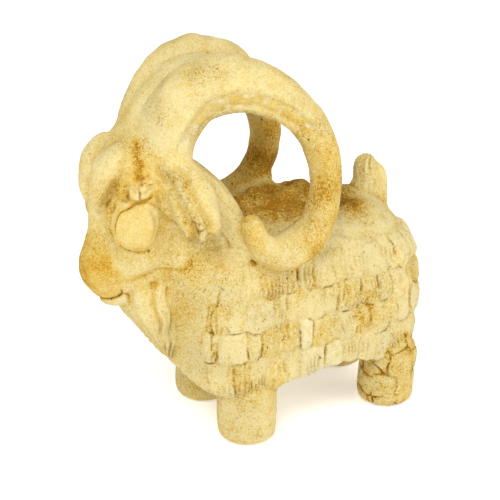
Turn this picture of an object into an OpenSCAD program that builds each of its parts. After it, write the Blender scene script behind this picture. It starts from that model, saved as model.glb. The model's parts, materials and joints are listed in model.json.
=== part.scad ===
// Hand-built clay goat: a hollow trunk and head with legs, curled horns, face and fleece
// pressed on as separate pieces. The goat looks along -Y, +X is its left side, +Z is up.
// The origin is on the standing plane, under the centre of the figure.

/* [Trunk] */
// Half of the trunk's width at the flank
trunk_half_width = 47; // [44:0.5:50]
// Wall of the hollow trunk and head
wall = 9; // [7:0.5:11]
// Radius of the vent hole in the belly
vent_r = 5; // [3:0.5:7]
// Height of the belly's arch above the standing plane
belly_z = 43; // [40:1:46]

/* [Legs] */
// Radius of each leg
leg_r = 18.5; // [16:0.5:19]
// Distance between the left and right legs' axes
leg_track = 61; // [58:1:63]
// Distance between the front and hind legs' axes
leg_base = 102; // [98:1:104]
// Rounding between a leg's side and its sole
sole_round = 6; // [3:0.5:8]

/* [Horns] */
// Share of the horn's drawn thickness
horn_scale = 1; // [0.9:0.05:1.05]

/* [Fleece] */
// How far a lock stands off the trunk's skin at its lower edge
lock_rise = 2.6; // [1.8:0.1:3.2]
// Gap between neighbouring locks
lock_gap = 0.9; // [0.6:0.1:1.6]
// Usual width of a lock
lock_w = 12.5; // [10:0.5:16]

/* [Hidden] */

pale_clay = [0.91, 0.82, 0.55];
ochre_clay = [0.85, 0.70, 0.38];

left = 1;
right = -1;

// The figure is drawn this far forward of its place over the origin
middle_y = 3.15;
// Larger than the figure, for cutting space in half
beyond = 400;

// Legs: middle of the four, top of each, and the bevel at its top
leg_mid_y = 28;
leg_top_z = 48;
leg_bevel_z = 10;
leg_bevel_r = 6;

// Air passage from the trunk to the head: radius, start, slope and length
passage_r = 6;
passage_start = [0, -30, 100];
passage_slope = 45;
passage_len = 60;
vent_len = 60;

// Smallest ring of a rounded end, as a share of the full ring
dome_tip = 0.16;

// ---- Shape tools ----

function unit(v) = v / norm(v);
function power(c, p) = sign(c) * pow(abs(c), 2 / p);

function catmull(a, b, c, d, t) =
    0.5 * (2 * b + (c - a) * t + (2 * a - 5 * b + 4 * c - d) * t * t
        + (3 * b - a - 3 * c + d) * t * t * t);

// A smooth run of stations through the given ones
function smooth(st, steps) = let (n = len(st)) [
    for (i = [0:n - 2], k = [0:steps - 1])
        catmull(st[max(i - 1, 0)], st[i], st[i + 1], st[min(i + 2, n - 1)], k / steps),
    st[n - 1]];

// Closed solid through equal rings, which turn to the right seen along the stack
module skin_solid(rings) {
    n = len(rings[0]);
    m = len(rings);
    walls = [for (k = [0:m - 2], i = [0:n - 1])
        let (a = k * n + i, b = k * n + (i + 1) % n)
        each [[a, a + n, b + n], [a, b + n, b]]];
    ends = [[for (i = [0:n - 1]) i], [for (i = [n - 1:-1:0]) (m - 1) * n + i]];
    polyhedron([for (r = rings) each r], concat(walls, ends), convexity = 6);
}

function centre(s) = [s[0], s[1], s[2]];

// Direction of the path at station k
function heading(st, k) = unit(centre(st[min(k + 1, len(st) - 1)]) - centre(st[max(k - 1, 0)]));

// Stations that round off one end of a path; dir is -1 for its start and 1 for its end
function dome(s, t, dir, steps, bulge) = [
    for (j = dir > 0 ? [1:steps] : [steps:-1:1])
        let (a = 90 * j / steps, shrink = max(cos(a), dome_tip),
            c = centre(s) + dir * t * bulge * min(s[3], s[4]) * sin(a))
        [c[0], c[1], c[2], s[3] * shrink, s[4] * shrink]];

function ring(s, t, side, sides, p) =
    let (u = unit(side - (side * t) * t), v = cross(t, u))
    [for (i = [0:sides - 1])
        let (a = 360 * i / sides)
        centre(s) + u * s[3] * power(cos(a), p) + v * s[4] * power(sin(a), p)];

// Rounded solid along a smooth path. A station is [x, y, z, half_width, half_depth]:
// half_width lies along side, and half_depth across both side and the path.
module lump(stations, side = [1, 0, 0], sides = 16, steps = 2, p = 2, caps = 3, bulge = 1) {
    st = smooth(stations, steps);
    last = len(st) - 1;
    all = concat(
        dome(st[0], heading(st, 0), -1, caps, bulge),
        st,
        dome(st[last], heading(st, last), 1, caps, bulge));
    skin_solid([for (k = [0:len(all) - 1])
        ring(all[k], heading(st, min(max(k - caps, 0), last)), side, sides, p)]);
}

// Draws a left-hand shape on the named side of the goat
module on_side(hand) mirror([hand < 0 ? 1 : 0, 0, 0]) children();

// The half of space across the goat's middle plane from the named side
module other_side(hand) translate([-hand * beyond / 2, 0, 0]) cube(beyond, center = true);

// ---- Trunk ----

// Trunk levels from belly to back: [centre y, z, half width, half length]
trunk_levels = [
    [24, 33, trunk_half_width - 8, 74],
    [24, 37, trunk_half_width - 2.5, 79.5],
    [23.5, 46, trunk_half_width - 0.5, 82],
    [23.5, 64, trunk_half_width, 82.5],
    [23.5, 86, trunk_half_width, 82.5],
    [22.5, 101, trunk_half_width - 1, 80.5],
    [21, 113, trunk_half_width - 2.5, 77],
    [19, 123, trunk_half_width - 5, 71],
    [17, 132, trunk_half_width - 10, 62],
    [17, 137.5, trunk_half_width - 18, 50],
    [18, 139.5, trunk_half_width - 28, 36]];
trunk_mid_z = 86;
trunk_half_height = 52;
// Squareness of the plan: 2 is an ellipse, more is squarer
rump_p = 3;
chest_p = 5;

// Point of the trunk's plan curve at angle b: 0 is the left flank and 90 the rump
function plan(b, w, l) = let (p = sin(b) < 0 ? chest_p : rump_p)
    [w * power(cos(b), p), l * power(sin(b), p)];

function level_ring(s, sides) = [for (i = [0:sides - 1])
    let (q = plan(360 * (i + 0.5) / sides, s[2], s[3]))
    [q[0], s[0] + q[1], s[1]]];

module trunk_outer() difference() {
    skin_solid([for (s = trunk_levels) level_ring(s, 36)]);
    belly_arch();
}

// Space under the belly, whose edge is the fleece's curved hem
belly_arch_r = 90;
belly_arch_y = 30;
module belly_arch() translate([0, belly_arch_y, belly_z - belly_arch_r]) rotate([0, 90, 0])
    cylinder(r = belly_arch_r, h = beyond, center = true, $fn = 72);

// The floor is thicker than the roof, so the cavity's middle is a little higher than the trunk's
cavity_up = 2;
module trunk_cavity() {
    squeeze = 1 - (wall + cavity_up) / trunk_half_height;
    skin_solid([for (s = trunk_levels)
        let (z = trunk_mid_z + cavity_up + (s[1] - trunk_mid_z) * squeeze)
        level_ring([s[0], z, s[2] - wall, s[3] - wall], 20)]);
}

// Opening that lets air through from the trunk to the head
module air_passage() translate(passage_start) rotate([passage_slope, 0, 0])
    cylinder(r = passage_r, h = passage_len, $fn = 32);

module trunk_shell() color(pale_clay) difference() {
    trunk_outer();
    trunk_cavity();
    translate([0, leg_mid_y, 0]) cylinder(r = vent_r, h = vent_len, $fn = 32);
    air_passage();
    legs_outer();
}

// ---- Legs ----

// Half profile of a leg: flat sole, rounded edge, straight side
module leg_profile() {
    arc = [for (a = [-90:15:0])
        [leg_r - sole_round + sole_round * cos(a), sole_round + sole_round * sin(a)]];
    bevel = [[leg_r, leg_top_z - leg_bevel_z], [leg_r - leg_bevel_r, leg_top_z]];
    polygon(concat([[0, 0]], arc, bevel, [[0, leg_top_z]]));
}

module leg_at(hand, end) translate([hand * leg_track / 2, leg_mid_y + end * leg_base / 2, 0])
    rotate_extrude($fn = 64) leg_profile();

module legs_outer() for (hand = [left, right], end = [-1, 1]) leg_at(hand, end);

// ---- Neck and head ----

module neck_outer() lump([
    [0, -47, 92, 37, 15],
    [0, -49, 108, 38, 21],
    [0, -53, 126, 36, 24],
    [0, -59, 144, 30, 25],
    [0, -62, 156, 25, 20]], sides = 20, steps = 2, p = 2.3);

module neck() color(pale_clay) difference() {
    neck_outer();
    trunk_outer();
    air_passage();
}

head_line = [
    [0, -83, 114, 25, 20],
    [0, -81, 123, 30, 24],
    [0, -80, 136, 31, 25.5],
    [0, -79, 150, 30, 26],
    [0, -77, 165, 30, 27],
    [0, -75, 178, 28, 25.5],
    [0, -71, 190, 26, 19]];

module head_outer() lump(head_line, sides = 22, steps = 2, p = 2.2, bulge = 0.8);

module head_shell() color(pale_clay) difference() {
    head_outer();
    neck_outer();
    trunk_outer();
    head_wall = wall + 2;
    lump([for (s = head_line) [s[0], s[1], s[2], s[3] - head_wall, s[4] - head_wall]],
        sides = 14, steps = 1);
    air_passage();
}

module snout_outer() lump([
    [0, -98, 166, 8, 9],
    [0, -98.5, 150, 9, 9.5],
    [0, -98.5, 137, 11.5, 11],
    [0, -98, 125, 16.5, 16],
    [0, -98, 115, 17.5, 17],
    [0, -96.5, 108, 15, 14.5]], sides = 18, steps = 2, bulge = 0.7);

module snout() color(ochre_clay) difference() {
    snout_outer();
    head_outer();
}

module lower_lip_outer() lump([
    [-13, -92, 100.5, 3.5, 3],
    [-7, -97.5, 97, 4.5, 3.2],
    [0, -99, 96, 5, 3.5],
    [7, -97.5, 97, 4.5, 3.2],
    [13, -92, 100.5, 3.5, 3]], side = [0, 1, 0], sides = 10, steps = 1, caps = 2);

module lower_lip() color(pale_clay) difference() {
    lower_lip_outer();
    snout_outer();
    head_outer();
}

module forelock_outer(hand) on_side(hand) lump([
    [7, -79, 191, 8, 6],
    [8.5, -88.5, 187, 11, 8.5],
    [9, -96, 178, 11, 10.5],
    [8.5, -100, 167, 8.5, 9.5],
    [8, -102.5, 158.5, 4.5, 6]], sides = 14, steps = 2);

module forelock(hand) color(pale_clay) difference() {
    forelock_outer(hand);
    head_outer();
    snout_outer();
    other_side(hand);
}

eye_side = [0.46, 0.886, 0];
module eye_outer(hand) on_side(hand) lump([
    [18, -86.5, 149.5, 10, 11],
    [26, -91, 149.5, 13, 14.5],
    [28.5, -92.3, 149.5, 12.5, 14]], side = eye_side, sides = 16, steps = 1, p = 2.8, bulge = 0.3);

module eye(hand) color(pale_clay) difference() {
    eye_outer(hand);
    head_outer();
    snout_outer();
}

module brow_outer(hand) on_side(hand) lump([
    [25.5, -91, 169, 3.4, 3.4],
    [28.5, -86.5, 171.5, 4.6, 4.6],
    [29, -82, 172.5, 4.2, 4.2]], side = [0, 0, 1], sides = 10, steps = 1, caps = 2);

module brow(hand) color(pale_clay) difference() {
    brow_outer(hand);
    head_outer();
    forelock_outer(hand);
    eye_outer(hand);
    ear_outer(hand);
    horn_outer(hand);
}

module ear_outer(hand) on_side(hand) lump([
    [24, -67, 181, 10, 8],
    [30.5, -64, 172.5, 13.5, 9.5],
    [36.5, -61, 163, 15, 10],
    [40.5, -58.5, 153.5, 13, 9],
    [42.5, -57, 147, 9, 7]], side = [0.2, 0.9, 0.35], sides = 16, steps = 2);

module ear(hand) color(pale_clay) difference() {
    ear_outer(hand);
    head_outer();
    neck_outer();
    trunk_outer();
    nape_outer();
}

module nape_outer() lump([
    [0, -60, 168, 26, 15],
    [0, -51, 161, 34, 16],
    [0, -42, 151, 38, 17],
    [0, -34, 140, 40, 16],
    [0, -29, 128, 37, 13]], sides = 18, steps = 2, p = 2.3);

module nape() color(ochre_clay) difference() {
    nape_outer();
    head_outer();
    neck_outer();
    trunk_outer();
}

module beard_outer() lump([
    [0, -79, 103, 27, 16],
    [0, -76, 92, 27, 15],
    [0, -71, 80, 23, 12],
    [0, -66.5, 67, 16, 8],
    [0, -63, 55, 8, 4.5]], sides = 16, steps = 2, p = 2.2);

module beard() color(ochre_clay) difference() {
    beard_outer();
    head_outer();
    neck_outer();
    trunk_outer();
    snout_outer();
    lower_lip_outer();
}

// ---- Horns ----

horn_line = [
    [14, -68, 176, 15, 17],
    [15, -66, 191, 16, 17],
    [15.5, -61, 203, 16.5, 17.5],
    [16.5, -50, 216, 17, 17.5],
    [19, -34, 221.5, 17, 17.5],
    [23.5, -15, 218.5, 15.5, 15.5],
    [30, 2, 209.5, 13, 12.8],
    [35, 15, 195, 11.5, 11.4],
    [38, 22.5, 178, 10.8, 10.8],
    [40, 24, 160, 10.4, 10.2],
    [43.5, 19, 142.5, 10.8, 10.6],
    [47, 7, 130, 11.5, 11.8],
    [49, -7, 126, 11, 11.2],
    [50, -19, 129, 9.2, 9.2],
    [50, -27, 138, 8, 7.8],
    [49, -28.5, 146, 7, 6.8]];

// The two horns were curled by hand: the right one's tip is this much further back
sway = 4.5;
// and its top is this much higher
lift = 3;
root_z = horn_line[0][2];
top_z = max([for (s = horn_line) s[2]]);
function curl(hand) = [for (k = [0:len(horn_line) - 1])
    let (s = horn_line[k], off = hand == right ? 1 : 0,
        back = off * sway * k / len(horn_line),
        up = off * lift * max(0, s[2] - root_z) / (top_z - root_z))
    [s[0], s[1] + back, s[2] + up, s[3] * horn_scale, s[4] * horn_scale]];

module horn_outer(hand) on_side(hand) lump(curl(hand), sides = 14, steps = 2);

module horn(hand) color(pale_clay) difference() {
    horn_outer(hand);
    head_outer();
    trunk_outer();
    neck_outer();
    nape_outer();
    ear_outer(hand);
    forelock_outer(hand);
    other_side(hand);
}

// Clay packed into the groove between the horns, from the forelock over the top
module crown_pad() color(ochre_clay) difference() {
    lump([
        [0, -82, 189, 10, 6],
        [0, -74, 197, 14, 9],
        [0, -67.5, 207.5, 15, 10],
        [0, -55, 221, 15, 10],
        [0, -38, 226.5, 12, 8],
        [0, -24, 225, 7, 5]], sides = 14, steps = 2);
    head_outer();
    for (hand = [left, right]) {
        horn_outer(hand);
        forelock_outer(hand);
    }
}

// ---- Tail ----

module tail() color(pale_clay) difference() {
    lump([
        [0, 78, 122, 9, 15],
        [0, 80, 134, 8, 13],
        [0, 81, 144, 7.2, 11.5],
        [0, 78.5, 152.5, 6.5, 9.5]], sides = 14, steps = 2, p = 2.4, bulge = 0.8);
    trunk_outer();
}

// ---- Fleece ----

function jitter(i, j) = sin(i * 137 + j * 71) * 0.6 + sin(i * 59 + j * 223) * 0.4;

// The trunk's level at height z
function level(z) =
    let (i = max([for (k = [0:len(trunk_levels) - 2]) if (trunk_levels[k][1] <= z || k == 0) k]),
        s = trunk_levels[i], e = trunk_levels[i + 1], t = (z - s[1]) / (e[1] - s[1]))
    s + (e - s) * t;

// Run round the left flank, measured from the middle of the rump: [distance, plan angle]
run_angles = [for (t = [1:-0.04:-1.001]) 90 * t * t * t];
run_points = [for (b = run_angles) plan(b, trunk_levels[4][2], trunk_levels[4][3])];
function run(k) = k == 0 ? 0 : run(k - 1) + norm(run_points[k] - run_points[k - 1]);
run_table = [for (k = [0:len(run_points) - 1]) [run(k), run_angles[k]]];

// Point on the trunk's skin, at a distance round the flank and a height
function skin(run_s, z, rise) =
    let (s = level(z), b = lookup(abs(run_s), run_table), q = plan(b, s[2] + rise, s[3] + rise))
    [(run_s < 0 ? -1 : 1) * q[0], s[0] + q[1], z];

// Corners of a lock, across and down: a rounded lower end, or a straight one for the hem
round_end = [[0.1, 0], [0.9, 0], [1, 0.8], [0.75, 1], [0.25, 1], [0, 0.8]];
straight_end = [[0.05, 0], [0.95, 0], [1, 0.5], [1, 1], [0, 1], [0, 0.5]];
// How deep a lock is set into the trunk's skin before the trunk is cut from it
root_depth = 4;
// Layers of a lock, outwards: share of its outline, and of its rise at the top and at the lower end
lock_layers = [[1, 0.3, 0.7], [0.78, 0.7, 1]];

// One pressed lock of clay, hanging from z_top to z_hem between two distances round the flank
module lock(s0, s1, z_top, z_hem, corners) {
    sm = (s0 + s1) / 2;
    zm = (z_top + z_hem) / 2;
    function layer(share, top, hem) = [for (c = corners)
        skin(sm + (s1 - s0) * (c[0] - 0.5) * share,
            zm + (z_hem - z_top) * (c[1] - 0.5) * share,
            top + (hem - top) * c[1])];
    // Seen from outside the trunk, the corners turn to the right
    skin_solid(concat(
        [layer(1, -root_depth, -root_depth)],
        [for (la = lock_layers) layer(la[0], lock_rise * la[1], lock_rise * la[2])]));
}

// Heights of the rows' edges, from the shoulder down to the hem
row_z = [118, 98, 79, 60, 35.5];
last_row = 4;
// How far a lock's end strays from its row's edge
stray = 1.5;

// A row of locks from distance s_start on, count locks long
module lock_row(row, seed, s_start, count) {
    edges = [for (i = [0:count]) s_start + lock_w * (i + 0.3 * jitter(i, seed))];
    hem = row == last_row;
    for (i = [0:count - 1])
        lock(
            edges[i] + lock_gap / 2,
            edges[i + 1] - lock_gap / 2,
            row_z[row - 1] + stray * jitter(i + 3, seed) - lock_gap,
            row_z[row] + (hem ? 0 : stray * jitter(i, seed + 5)),
            hem ? straight_end : round_end);
}

module fleece(hand, row) color(pale_clay) difference() {
    on_side(hand) lock_row(row, row * 3 + hand, 38 + 5 * (row % 2), row == 1 ? 10 : 12);
    trunk_outer();
    if (row == 1) horn_outer(hand);
    if (row == last_row) {
        legs_outer();
        belly_arch();
    }
}

module fleece_rump(row) color(pale_clay) difference() {
    lock_row(row, row * 7, -37 + 4 * (row % 2), 6);
    trunk_outer();
    if (row == last_row) legs_outer();
}

// Brings the middle of the figure over the origin
module place() translate([0, middle_y, 0]) children();

place() trunk_shell();
place() neck();
place() head_shell();
place() snout();
place() lower_lip();
place() nape();
place() crown_pad();
place() forelock(left);  // forelock_left
place() forelock(right);  // forelock_right
place() eye(left);  // eye_left
place() eye(right);  // eye_right
place() brow(left);  // brow_left
place() brow(right);  // brow_right
place() ear(left);  // ear_left
place() ear(right);  // ear_right
place() horn(left);  // horn_left
place() horn(right);  // horn_right
place() beard();
place() tail();
place() color(ochre_clay) leg_at(left, -1);  // leg_front_left
place() color(ochre_clay) leg_at(right, -1);  // leg_front_right
place() color(ochre_clay) leg_at(left, 1);  // leg_hind_left
place() color(ochre_clay) leg_at(right, 1);  // leg_hind_right
place() fleece(left, 1);  // fleece_left_row_1
place() fleece(left, 2);  // fleece_left_row_2
place() fleece(left, 3);  // fleece_left_row_3
place() fleece(left, 4);  // fleece_left_row_4
place() fleece(right, 1);  // fleece_right_row_1
place() fleece(right, 2);  // fleece_right_row_2
place() fleece(right, 3);  // fleece_right_row_3
place() fleece(right, 4);  // fleece_right_row_4
place() fleece_rump(1);  // fleece_rump_row_1
place() fleece_rump(2);  // fleece_rump_row_2
place() fleece_rump(3);  // fleece_rump_row_3
place() fleece_rump(4);  // fleece_rump_row_4
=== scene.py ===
import json
import math

import bmesh
import bpy
import numpy as np
import openvdb as vdb
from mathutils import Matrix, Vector


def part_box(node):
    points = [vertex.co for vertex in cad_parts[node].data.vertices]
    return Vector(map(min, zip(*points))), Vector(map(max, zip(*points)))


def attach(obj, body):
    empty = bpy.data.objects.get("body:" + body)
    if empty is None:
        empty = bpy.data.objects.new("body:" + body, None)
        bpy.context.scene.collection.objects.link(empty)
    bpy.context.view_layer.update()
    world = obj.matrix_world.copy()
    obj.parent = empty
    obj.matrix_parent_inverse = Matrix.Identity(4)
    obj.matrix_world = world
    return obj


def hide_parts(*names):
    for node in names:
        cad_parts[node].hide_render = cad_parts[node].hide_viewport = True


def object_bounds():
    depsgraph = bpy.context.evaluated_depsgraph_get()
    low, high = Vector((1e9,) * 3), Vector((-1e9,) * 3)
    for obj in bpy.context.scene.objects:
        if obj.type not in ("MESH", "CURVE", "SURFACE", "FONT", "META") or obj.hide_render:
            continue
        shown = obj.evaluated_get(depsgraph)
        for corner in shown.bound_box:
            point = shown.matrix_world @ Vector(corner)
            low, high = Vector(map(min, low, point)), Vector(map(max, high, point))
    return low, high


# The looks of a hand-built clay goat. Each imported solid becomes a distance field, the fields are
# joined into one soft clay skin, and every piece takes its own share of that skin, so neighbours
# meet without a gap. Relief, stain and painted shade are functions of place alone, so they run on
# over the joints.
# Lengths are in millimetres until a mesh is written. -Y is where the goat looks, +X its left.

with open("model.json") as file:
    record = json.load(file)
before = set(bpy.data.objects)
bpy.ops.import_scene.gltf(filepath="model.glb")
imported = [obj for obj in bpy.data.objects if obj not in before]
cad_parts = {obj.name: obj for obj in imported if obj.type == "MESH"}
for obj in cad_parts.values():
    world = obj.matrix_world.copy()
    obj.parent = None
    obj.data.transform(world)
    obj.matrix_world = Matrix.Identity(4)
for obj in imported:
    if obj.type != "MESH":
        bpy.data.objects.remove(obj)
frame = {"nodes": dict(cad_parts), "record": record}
cad_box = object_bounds()

NAMES = sorted(frame["nodes"])
INDEX = {name: i for i, name in enumerate(NAMES)}
FLEECE = [name for name in NAMES if name.startswith("fleece_")]
SLOT = {part["node"]: part["material_slot"] for part in frame["record"]["subparts"]}
SIDES = (("left", 1.0), ("right", -1.0))

FINE_STEP, QUICK_STEP = 0.8, 1.6
STEP = FINE_STEP      # edge of a grid cell
BAND = 8.0                                          # distances are measured this far from a surface
MARGIN = 12.0                                       # empty room round the model

low = np.array(cad_box[0]) * 1000 - MARGIN
high = np.array(cad_box[1]) * 1000 + MARGIN
shape = tuple(int(v) for v in np.ceil((high - low) / STEP))
level = low[2] + np.arange(shape[2]) * STEP


def box(name):
    """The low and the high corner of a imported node."""
    a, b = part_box(name)
    return np.array(a) * 1000, np.array(b) * 1000


def middle(name):
    a, b = box(name)
    return (a + b) / 2


# ---------------------------------------------------------------- small maths

def ramp(a, b, x):
    """0 up to a, 1 from b on, smooth between; a may be the larger."""
    t = np.clip((x - a) / (b - a), 0, 1)
    return t * t * (3 - 2 * t)


def bump(x, width):
    """1 at nought, falling off to about nothing at twice the width."""
    return np.exp(-(x / width) ** 2)


def unit(v):
    return v / np.maximum(np.linalg.norm(v, axis=-1, keepdims=True), 1e-9)


SEED = 7
TABLE = 512             # a power of two
LAST = TABLE - 1
dice = np.random.RandomState(SEED)
SHUFFLE = dice.permutation(TABLE)
SLOPES = unit(dice.normal(size=(TABLE, 3))).astype(np.float32)


def scatter(cell):
    """A repeatable number from 0 to LAST for each whole-number cell."""
    x, y, z = cell.T
    return SHUFFLE[(SHUFFLE[(SHUFFLE[x & LAST] + y) & LAST] + z) & LAST]


def noise(points, size, seed=0):
    """Gradient noise, about -1 to 1, with lumps about size across. Each use has its own seed."""
    q = points / size + seed * 17.31
    base = np.floor(q).astype(np.int32)
    f = (q - base).astype(np.float32)
    u = f * f * f * (f * (f * 6 - 15) + 10)
    total = np.zeros(len(points), np.float32)
    for corner in np.ndindex(2, 2, 2):
        slope = SLOPES[scatter(base + corner)]
        value = ((f - np.array(corner, np.float32)) * slope).sum(1)
        weight = np.where(corner, u, 1 - u).prod(1)
        total += value * weight
    return total * 1.6


def noise3(points, size, seed):
    """Three noises, one for each axis."""
    return np.stack([noise(points, size, seed + k) for k in range(3)], 1)


def squeezed(points, x, y, z):
    """Places for noise that is drawn out along the axes with a small factor."""
    return points * np.array((x, y, z), np.float32)


def layered(points, size, seed, octaves=3, fall=0.55):
    """Noise with finer noise on it, each octave weaker than the one before."""
    total, gain, norm = 0, 1.0, 0
    for k in range(octaves):
        total = total + gain * noise(points, size / 2 ** k, seed + k)
        norm += gain
        gain *= fall
    return total / norm


def cells(points, size, seed=0):
    """How far off the edge of a Voronoi cell is, as a share of size, and the cell's chance."""
    q = points / size + seed * 5.7
    base = np.floor(q).astype(np.int32)
    first = np.full(len(q), 9.0)
    second = np.full(len(q), 9.0)
    number = np.zeros(len(q), int)
    for corner in np.ndindex(3, 3, 3):
        cell = base + np.array(corner) - 1
        key = scatter(cell)
        centre = cell + 0.5 + 0.42 * SLOPES[key]
        d = np.linalg.norm(q - centre, axis=1)
        closer = d < first
        second = np.where(closer, first, np.minimum(second, d))
        number = np.where(closer, key, number)
        first = np.minimum(first, d)
    return second - first, number / LAST


def sample(field, points, start=(0, 0, 0)):
    """Value of a field between its grid points."""
    q = np.clip((points - low) / STEP - np.array(start), 0, np.array(field.shape) - 1.001)
    b = q.astype(np.int32)
    f = (q - b).astype(np.float32)
    out = np.zeros(len(points), np.float32)
    for corner in np.ndindex(2, 2, 2):
        weight = np.where(corner, f, 1 - f).prod(1)
        out += weight * field[b[:, 0] + corner[0], b[:, 1] + corner[1], b[:, 2] + corner[2]]
    return out


def blur(field, sigma, cutoff=2.6):
    """Gaussian blur that stops cutoff times sigma away."""
    wide = max(1, int(math.ceil(sigma / STEP * cutoff)))
    weights = np.exp(-0.5 * (np.arange(-wide, wide + 1) * STEP / sigma) ** 2)
    weights /= weights.sum()
    for axis in range(3):
        pads = [(wide, wide) if i == axis else (0, 0) for i in range(3)]
        padded = np.pad(field, pads, mode="edge")
        out = np.zeros_like(field)
        for k, weight in enumerate(weights):
            cut = [slice(None)] * 3
            cut[axis] = slice(k, k + field.shape[axis])
            out += np.float32(weight) * padded[tuple(cut)]
        field = out
    return field


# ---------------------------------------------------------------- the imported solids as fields

def mesh_arrays(mesh):
    points = np.empty(len(mesh.vertices) * 3, np.float32)
    mesh.vertices.foreach_get("co", points)
    mesh.calc_loop_triangles()
    triangles = np.empty(len(mesh.loop_triangles) * 3, np.int32)
    mesh.loop_triangles.foreach_get("vertices", triangles)
    return points.reshape(-1, 3) * 1000, triangles.reshape(-1, 3)


def islands(count, faces):
    """A number for each point, the same for all points that faces connect."""
    tag = np.arange(count)
    while True:
        least = tag[faces].min(1)
        new = tag.copy()
        for k in range(faces.shape[1]):
            np.minimum.at(new, faces[:, k], least)
        new = new[new]
        if (new == tag).all():
            return tag
        tag = new


WELD = 200          # points are told apart to 1 / WELD mm


def weld(points, triangles):
    """Points at one place become one point."""
    _, first, back = np.unique(np.round(points * WELD).astype(np.int64), axis=0,
                               return_index=True, return_inverse=True)
    triangles = back.reshape(-1)[triangles]
    good = ((triangles[:, 0] != triangles[:, 1]) & (triangles[:, 1] != triangles[:, 2])
            & (triangles[:, 0] != triangles[:, 2]))
    return points[first], triangles[good]


def solids(name):
    """The separate solids of a node."""
    points, triangles = weld(*mesh_arrays(frame["nodes"][name].data))
    tag = islands(len(points), triangles)[triangles[:, 0]]
    for key in np.unique(tag):
        own = triangles[tag == key]
        used, back = np.unique(own, return_inverse=True)
        yield points[used], back.reshape(-1, 3)


def hull(name):
    """The convex hull of a node, as points and triangles."""
    bm = bmesh.new()
    bm.from_mesh(frame["nodes"][name].data)
    found = bmesh.ops.convex_hull(bm, input=bm.verts)
    spare = {g for g in found["geom_interior"] + found["geom_unused"]
             if isinstance(g, bmesh.types.BMVert)}
    bmesh.ops.delete(bm, geom=list(spare), context="VERTS")
    bmesh.ops.triangulate(bm, faces=bm.faces)
    mesh = bpy.data.meshes.new("hull")
    bm.to_mesh(mesh)
    bm.free()
    arrays = mesh_arrays(mesh)
    bpy.data.meshes.remove(mesh)
    return arrays


def window(points, pad=BAND + 2):
    """The part of the grid that holds the points and a pad round them."""
    start = np.maximum(np.floor((points.min(0) - pad - low) / STEP), 0).astype(int)
    stop = np.minimum(np.ceil((points.max(0) + pad - low) / STEP), shape).astype(int)
    return tuple(slice(a, b) for a, b in zip(start, stop))


def corner_of(part):
    return np.array([s.start for s in part])


def level_set(points, **faces):
    """A level set from a mesh whose points are in cells of the grid."""
    plain = vdb.createLinearTransform(voxelSize=1.0)
    return vdb.FloatGrid.createLevelSetFromPolygons(
        points.astype(np.float32), transform=plain, halfWidth=BAND / STEP, **faces)


def distance(points, triangles, part):
    """Signed distance to a closed mesh over one window of the grid, negative inside."""
    out = np.empty([s.stop - s.start for s in part], np.float32)
    grid = level_set((points - low) / STEP, triangles=triangles.astype(np.uint32))
    grid.copyToArray(out, ijk=[s.start for s in part])
    return out * STEP


HOLLOW = ("trunk_shell", "neck", "head_shell")
WALL = 3.0          # hollow pieces are filled to this far below their hulls
BELLY = 14.0        # the belly arch keeps its shape this far up from the hem

parts = {}          # node: its window and its field
locks = []          # every separate tab of fleece: its points, window and field
for name in NAMES:
    pieces = list(solids(name))
    points = np.concatenate([p for p, _ in pieces])
    part = window(points)
    field = np.full([s.stop - s.start for s in part], BAND, np.float32)
    for own, triangles in pieces:
        if name in FLEECE:
            view = window(own)
            d = distance(own, triangles, view)
            locks.append((own, view, d))
            inner = tuple(slice(v.start - s.start, v.stop - s.start) for v, s in zip(view, part))
            field[inner] = np.minimum(field[inner], d)
        elif name not in HOLLOW:
            field = np.minimum(field, distance(own, triangles, part))
    if name in HOLLOW:
        field = distance(*mesh_arrays(frame["nodes"][name].data), part)
        filled = distance(*hull(name), part) + WALL
        if name == "trunk_shell":
            hem = box(name)[0][2]
            filled[:, :, level[part[2]] < hem + BELLY] = BAND
        field = np.minimum(field, filled)
    parts[name] = (part, field)

# Which piece owns each place: fleece claims the hairline gaps round it.
CLAIM = 1.0         # how much nearer fleece counts than it is
claim = {name: CLAIM if name in FLEECE else 0.0 for name in NAMES}
nearest = np.full(shape, BAND, np.float32)
first = np.full(shape, BAND, np.float32)
second = np.full(shape, BAND, np.float32)
owner = np.zeros(shape, np.uint8)
for name in NAMES:
    part, field = parts[name]
    nearest[part] = np.minimum(nearest[part], field)
    mine = field - claim[name]
    f, s, o = first[part], second[part], owner[part]
    wins = mine < f
    s[:] = np.where(wins, f, np.minimum(s, mine))
    o[wins] = INDEX[name]
    f[:] = np.minimum(f, mine)

# ---------------------------------------------------------------- one skin round all of it

def closed(field, gap):
    """Distance to the shape with its hollows narrower than twice gap filled in."""
    grid = vdb.FloatGrid(BAND)
    grid.copyFromArray(field - gap)
    corners, _, quads = grid.convertToPolygons(isovalue=0.0, adaptivity=0.0)
    out = np.empty(shape, np.float32)
    level_set(corners, quads=quads).copyToArray(out, ijk=(0, 0, 0))
    return out * STEP + gap


def spread(table, sigma=2.2):
    """A value of each piece, faded over the borders between them. Half the grid is fine enough."""
    values = np.array([table[name] for name in NAMES], np.float32)[owner[::2, ::2, ::2]]
    return double(blur(values, sigma / 2))


def double(field):
    """A field at every second grid point, filled in between them."""
    for axis in range(3):
        field = np.moveaxis(field, axis, 0)
        out = np.repeat(field, 2, axis=0)
        out[1:-1:2] = (field[:-1] + field[1:]) / 2
        out = out[:shape[axis]]
        field = np.moveaxis(out, 0, axis)
    return np.ascontiguousarray(field)


TIGHT, SMEARED = 0.7, 6.0       # half the width of the gaps that are closed
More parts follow.
